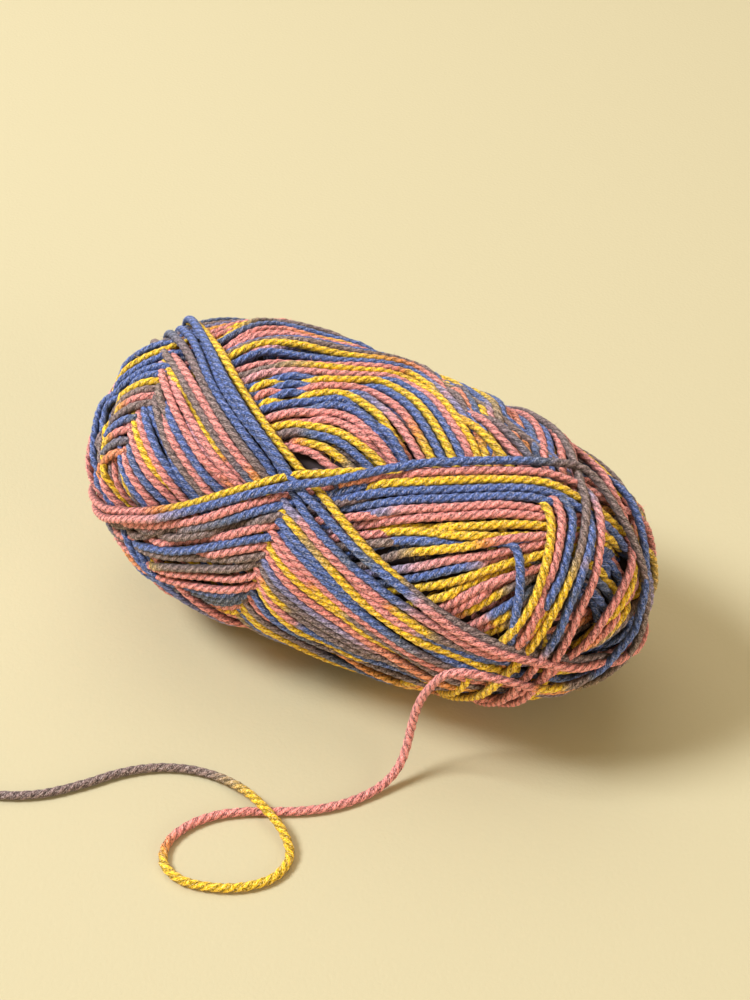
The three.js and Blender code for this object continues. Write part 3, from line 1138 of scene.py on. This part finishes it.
def yarn_material():
    """Plied yarn in its dye's colour, with the fibres' random tone, painted shade in the ply grooves and
    on each yarn's underside, and pale flecks that are partly pale fibres and partly painted sheen.
    """
    nodes = Nodes("yarn")
    dye = nodes.make("ShaderNodeAttribute", {"attribute_name": "dye"}, out=2)
    slots = {0: dye.math("FRACT")}
    colour = nodes.make("ShaderNodeValToRGB", {"stops": DYE_COLOURS}, slots=slots)
    run = nodes.make("ShaderNodeUVMap", {"uv_map": "yarn"})
    flat = {"noise_dimensions": "2D"}
    round_yarn = nodes.make("ShaderNodeSeparateXYZ", out=1, Vector=run)
    # crest is 1 on each ply and 0 in the grooves between them; the colour is darkened towards the
    # grooves as painted shade.
    crest = (round_yarn * (2 * np.pi * PLIES / AROUND)).math("COSINE") * 0.5 + 0.5
    stretched = nodes.make("ShaderNodeMapping", Vector=run, Scale=(6, 36, 1))
    fibres = nodes.make(
        "ShaderNodeTexNoise", flat, Vector=stretched, Detail=4.0, Roughness=0.65, Scale=1.0
    )
    tufts = nodes.make("ShaderNodeTexNoise", flat, Vector=run, Detail=3.0, Scale=14.0)
    specks = nodes.make("ShaderNodeTexNoise", flat, Vector=run, Detail=2.0, Scale=22.0)
    # The painted light share of each corner: 1 on the yarn's outward side, 0 on its underside.
    light = nodes.make("ShaderNodeAttribute", {"attribute_name": "light"}, out=2)
    mottled = (fibres * 3.8 + tufts * 1.8 + specks * 3.2 - 3.38).math("MAXIMUM", 0.22)
    # Painted shade in the grooves between the plies (crest) and on the yarn's underside (light), times
    # the fibres' own random tone (mottled).
    tone_and_painted_shade = (crest * 0.72 + 0.6) * mottled.math("MINIMUM", 1.5) * (light * 0.85 + 0.36)
    bright = nodes.make("ShaderNodeVectorMath", {"operation": "SCALE"}, Vector=colour, Scale=tone_and_painted_shade)
    # Pale flecks, partly pale fibres and partly painted sheen: they are mixed in by the painted light
    # share, so they show on the yarn's lit side only.
    flecks_and_sheen = (fibres + specks * 1.4 - 1.32).math("MULTIPLY", 5.0, clamp=True)
    speckled = nodes.mix(flecks_and_sheen * light * 0.6, bright, linear(255, 240, 232))
    height = fibres + tufts * 0.5 + specks * 0.7
    bump = nodes.make("ShaderNodeBump", Height=height, Strength=0.9, Distance=0.0004)
    return nodes.finish(
        Base_Color=speckled,
        Roughness=0.9,
        Normal=bump,
        Specular_IOR_Level=0.15,
        Sheen_Weight=0.2,
        Sheen_Roughness=0.5,
    )


def plain_material(name, colour, roughness):
    """One even colour."""
    return Nodes(name).finish(Base_Color=linear(*colour), Roughness=roughness)


def area_light(name, towards, distance, size, power, colour):
    """A square light on the given side of the skein, facing it."""
    data = bpy.data.lights.new(name, "AREA")
    data.size, data.energy, data.color = size, power, colour
    light = bpy.data.objects.new(name, data)
    bpy.context.collection.objects.link(light)
    side = Vector(towards).normalized()
    light.location = side * distance + Vector((0, 0, 0.04))
    light.rotation_mode = "QUATERNION"
    light.rotation_quaternion = side.to_track_quat("Z", "Y")


def surroundings():
    """The floor, the lights and the sky round the skein."""
    bpy.ops.mesh.primitive_plane_add(size=6)
    floor = bpy.context.object
    floor.name = "floor"
    nodes = Nodes("floor")
    spot = nodes.make("ShaderNodeTexCoord", out=3)
    grain = nodes.make("ShaderNodeTexNoise", Vector=spot, Scale=850.0, Detail=2.0)
    bump = nodes.make("ShaderNodeBump", Height=grain, Strength=0.3, Distance=0.0003)
    floor.data.materials.append(
        nodes.finish(Base_Color=linear(218, 205, 168), Roughness=0.8, Normal=bump)
    )
    area_light("key", (-0.75, -0.4, 0.97), 2.2, 0.7, 48, (0.88, 0.94, 1.0))
    area_light("overhead", (-0.35, 0.45, 1), 1.6, 1.6, 9, (1, 0.96, 0.9))
    area_light("side", (1, -0.3, 0.35), 1.3, 0.7, 4.6, (1, 0.93, 0.85))
    world = bpy.data.worlds.new("sky")
    world.use_nodes = True
    sky = world.node_tree.nodes["Background"]
    sky.inputs[0].default_value = (1.0, 0.82, 0.44, 1)
    sky.inputs[1].default_value = 0.31
    bpy.context.scene.world = world
    bpy.context.scene.view_settings.view_transform = "Standard"


# The loose end's line, as in the solid.
FLOOR = 1.31
LOOSE_END = [
    (58, -39.9, 37.4),
    (54.2, -42, 38.6),
    (50.6, -43.2, 38.4),
    (47, -43.6, 35.8),
    (44, -43.7, 31.2),
    (41.4, -43.9, 26),
    (39.8, -44.6, 20.8),
    (39, -46, 14.8),
    (39, -48.6, 9.6),
    (38.8, -52.4, 5.2),
    (37.2, -57.6, 2.4),
    (34.2, -63.4, FLOOR + 0.1),
    (29.5, -69.8, FLOOR),
    (23.5, -75.2, FLOOR),
    (16.5, -79.6, FLOOR),
    (9, -83.8, FLOOR),
    (2.6, -89, FLOOR),
    (-1.8, -95.8, FLOOR),
    (-3, -103, FLOOR),
    (-0.2, -108.8, FLOOR),
    (6.4, -111.2, FLOOR),
    (14.4, -109.6, FLOOR),
    (22, -105.4, FLOOR),
    (27.4, -98.6, FLOOR),
    (27.4, -91.2, FLOOR + 0.3),
    (21.8, -85.6, FLOOR + 1.7),
    (14, -82, FLOOR + 2.75),
    (5.6, -78.6, FLOOR + 1.7),
    (-3.6, -77, FLOOR + 0.3),
    (-12.4, -78.4, FLOOR),
    (-20.8, -82.4, FLOOR),
    (-28, -88.6, FLOOR),
    (-34.6, -97, FLOOR),
    (-42.4, -105.2, FLOOR),
    (-52.4, -111.2, FLOOR),
    (-65, -115, FLOOR),
    (-79, -116, FLOOR),
]
# Colours along the loose end: millimetres from its start, and the dye's phase there.
LOOSE_DYES = [(0, 0.04), (112, 0.18), (124, 0.285), (186, 0.45), (202, 0.53), (290, 0.66)]
# Where the top yarn meets the loose end: how far along it is drawn to it, and its thinner start.
EASE = 22
NECK, NECK_ENDS = 0.93, (4, 7)


def spline(points, count):
    """The curve through points, with even steps: a Catmull-Rom curve of centripetal spacing."""
    points = np.array(points, float)
    ends = 2 * points[[0, -1]] - points[[1, -2]]
    held = np.concatenate([ends[:1], points, ends[1:]])
    knots = np.sqrt(np.linalg.norm(np.diff(held, axis=0), axis=1))
    line = []
    for i in range(1, len(held) - 2):
        p0, p1, p2, p3 = held[i - 1 : i + 3]
        a, b, c = knots[i - 1 : i + 2]
        m1 = b * ((p1 - p0) / a - (p2 - p0) / (a + b) + (p2 - p1) / b)
        m2 = b * ((p2 - p1) / b - (p3 - p1) / (b + c) + (p3 - p2) / c)
        t = np.linspace(0, 1, 24, endpoint=False)[:, None]
        line.append(
            (2 * t**3 - 3 * t**2 + 1) * p1
            + (t**3 - 2 * t**2 + t) * m1
            + (3 * t**2 - 2 * t**3) * p2
            + (t**3 - t**2) * m2
        )
    line = np.concatenate([*line, points[-1:]])
    run = run_along(line)
    marks = np.linspace(0, run[-1], count)
    return np.stack([np.interp(marks, run, axis) for axis in line.T], -1), run[-1]


def make_loose_end(material):
    """The yarn that leaves the skein's front and lies in a loop on the floor."""
    _, length = spline(LOOSE_END, 400)
    points, length = spline(LOOSE_END, int(length / STEP) + 1)
    up = np.tile([0.05, -0.3, 1.0], (len(points), 1))
    run = np.linspace(0, length, len(points))
    where, phase = np.array(LOOSE_DYES).T
    corners, light = sleeve(points, up, 0)
    corners[..., 2] = np.maximum(corners[..., 2], 0.05)
    dye = np.interp(run, where, phase)
    # Painted shade on the loose end's underside, softer than on the skein: its painted light share stays
    # between 0.6 and 1.
    strands = [(corners, run, dye, 0.6 + 0.4 * light)]
    piece = strand_piece("loose_yarn", strands, material, "loose_end")


def make_skein(yarns, material):
    """The yarns that show, in pieces of a size that can be handed on."""
    strands = []
    for yarn in yarns:
        count = len(yarn["path"])
        for steps in showing(yarn):
            points, normals = pick(yarn, steps)
            radius = RADIUS
            meets_loose_end = yarn is yarns[-1] and steps[0] == 0
            if meets_loose_end:
                near = 1 - smooth(0, EASE, np.arange(len(points)) * LAY_STEP)
                points += (np.array(LOOSE_END[0]) - points[0]) * near[:, None]
                points = np.concatenate([[LOOSE_END[1]], points])
                normals = np.concatenate([normals[:1], normals])
            points, normals, marks = resample(points, normals, STEP)
            if meets_loose_end:
                radius = RADIUS * (NECK + (1 - NECK) * smooth(*NECK_ENDS, marks))[:, None]
            run = marks + steps[0] * LAY_STEP
            # light is the painted light share of each corner, for painted shade on the yarn's underside.
            corners, light = sleeve(points, normals, steps[0] * LAY_STEP, radius)
            corners[..., 2] = np.maximum(corners[..., 2], 0)
            share = (steps[0] + marks / marks[-1] * (len(steps) - 1)) / count
            if yarn["closed"]:
                share %= 1
            dye = np.interp(share, yarn["shares"], yarn["phases"])
            strands.append((corners, run, dye, light))
    sizes = np.cumsum([len(strand[0]) for strand in strands])
    groups = (sizes * RING * 2 / PIECE_TRIANGLES).astype(int)
    for group in range(groups.max() + 1):
        some = [strand for strand, g in zip(strands, groups, strict=True) if g == group]
        strand_piece(f"wound_yarn_{group + 1}", some, material, "skein")
    return strands


def make_fuzz(strands, material):
    """Short stray fibres that stand off the yarn, each a thin pointed pyramid rooted in it.

    A fibre's tip is its root plus its length along a mean of straight out, along and chance.
    """
    rng = np.random.default_rng(SEED + 2)
    roots, ways, dyes = [], [], []
    for corners, _, dye, _ in strands:
        count = rng.poisson(len(corners) * HAIRS_PER_RING)
        ring, corner = rng.integers(0, len(corners), count), rng.integers(0, RING, count)
        middle = corners[ring].mean(1)
        out = corners[ring, corner] - middle
        roots.append(middle + out * 0.8)
        ways.append(out / np.linalg.norm(out, axis=1, keepdims=True))
        dyes.append(dye[ring])
    roots, ways, dyes = np.concatenate(roots), np.concatenate(ways), np.concatenate(dyes)
    count = len(roots)
    ways = ways + rng.normal(0, 0.75, (count, 3))
    ways /= np.linalg.norm(ways, axis=1, keepdims=True)
    tips = roots + ways * rng.uniform(*HAIR_LENGTHS, (count, 1))
    tips[:, 2] = np.maximum(tips[:, 2], 0.05)
    side = np.cross(ways, rng.normal(size=(count, 3)))
    side /= np.linalg.norm(side, axis=1, keepdims=True)
    other = np.cross(ways, side)
    foot = [roots + HAIR * (np.cos(a) * side + np.sin(a) * other) for a in (0, 2.1, 4.2)]
    points = np.stack([*foot, tips], 1).reshape(-1, 3)
    faces = np.array([[0, 1, 3], [1, 2, 3], [2, 0, 3], [2, 1, 0]])
    faces = (np.arange(count)[:, None, None] * 4 + faces).reshape(-1, 3)
    mesh = bpy.data.meshes.new("stray_fibres")
    mesh.from_pydata((points * MM).tolist(), [], faces.tolist())
    cells = int(np.ceil(np.sqrt(count)))
    cell = np.stack([np.arange(count) % cells, np.arange(count) // cells], -1)
    spots = np.array([[0.2, 0.2], [0.8, 0.2], [0.5, 0.5], [0.5, 0.9]])
    atlas = (cell[:, None] + spots).reshape(-1, 2)[faces.ravel()] / cells
    mesh.uv_layers.new(name="OFBake").data.foreach_set("uv", atlas.ravel().astype(np.float32))
    set_values(mesh, "dye", np.repeat(dyes, 4))
    # The stray fibres take one even share of painted light, with no painted shade.
    set_values(mesh, "light", np.full(count * 4, 0.9))
    make_piece("stray_fibres", mesh, material, "skein")


def make_painted_shade_core(material):
    """A dark body that closes the gaps between the turns, a smooth form under them: its dark colour is
    painted shade for the deeper turns seen through the gaps.
    """
    rows, columns = 90, 120
    along = np.linspace(ALONG[0], ALONG[-1], rows)
    turn = np.linspace(0, 2 * np.pi, columns, endpoint=False)
    grid = np.stack(np.meshgrid(along, turn, indexing="ij"), -1).reshape(-1, 2)
    points, normals = on_core(grid[:, 0], grid[:, 1])
    points = settle(points + normals * (WOUND_DEPTH - INNER_DEPTH))
    points[:, 2] = np.maximum(points[:, 2], 0.4)
    row, column = np.meshgrid(np.arange(rows - 1), np.arange(columns), indexing="ij")
    here, beside = row * columns + column, row * columns + (column + 1) % columns
    quads = np.stack([here, beside, beside + columns, here + columns], -1)
    mesh = bpy.data.meshes.new("core")
    mesh.from_pydata((points * MM).tolist(), [], quads.reshape(-1, 4).tolist())
    make_piece("inner_turns_painted_shade", mesh, material, "skein")


def main():
    """Builds the scene."""
    make_camera()
    material = yarn_material()
    make_loose_end(material)
    strands = make_skein(wind(), material)
    make_fuzz(strands, material)
    # The body's dark colour is painted shade, standing in for the deeper turns in shadow between the top
    # ones.
    make_painted_shade_core(plain_material("inner_turns_painted_shade", (72, 58, 60), 0.9))
    surroundings()


main()
